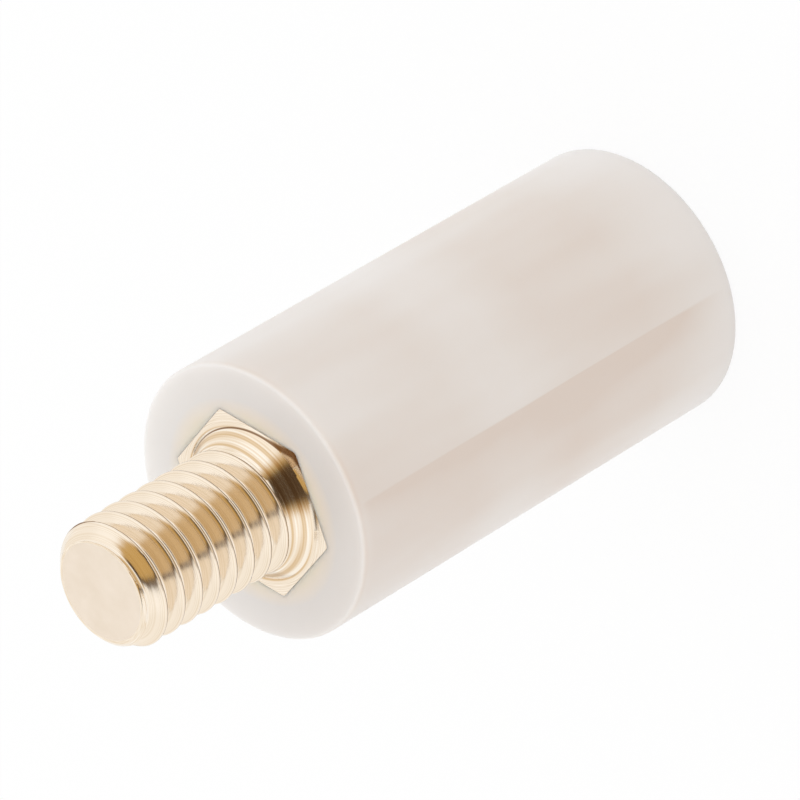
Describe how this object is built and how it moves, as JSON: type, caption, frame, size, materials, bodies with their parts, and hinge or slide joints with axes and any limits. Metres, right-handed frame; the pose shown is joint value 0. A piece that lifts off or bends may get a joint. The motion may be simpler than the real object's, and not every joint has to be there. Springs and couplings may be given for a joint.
{
  "type": "round nylon spacer",
  "caption": "Round insulating spacer of translucent nylon moulded round a threaded brass stud at one end and a tapped brass insert at the other.",
  "frame": {"origin": "centre of the flat tapped end, on which the spacer stands", "axes": "+Z along the axis from the tapped end to the tip of the threaded stud, +X through a corner of both hexagonal bars"},
  "size_m": [0.0085, 0.0084, 0.0224],
  "materials": {
    "nylon": "translucent natural nylon, moulded, semi-gloss",
    "stud_brass": "bright turned brass with fine tool lines",
    "insert_brass": "bright turned brass with fine tool lines"
  },
  "bodies": {
    "root": {"nylon_body": "nylon", "stud_insert": "stud_brass", "tapped_insert": "insert_brass"}
  },
  "joints": []
}
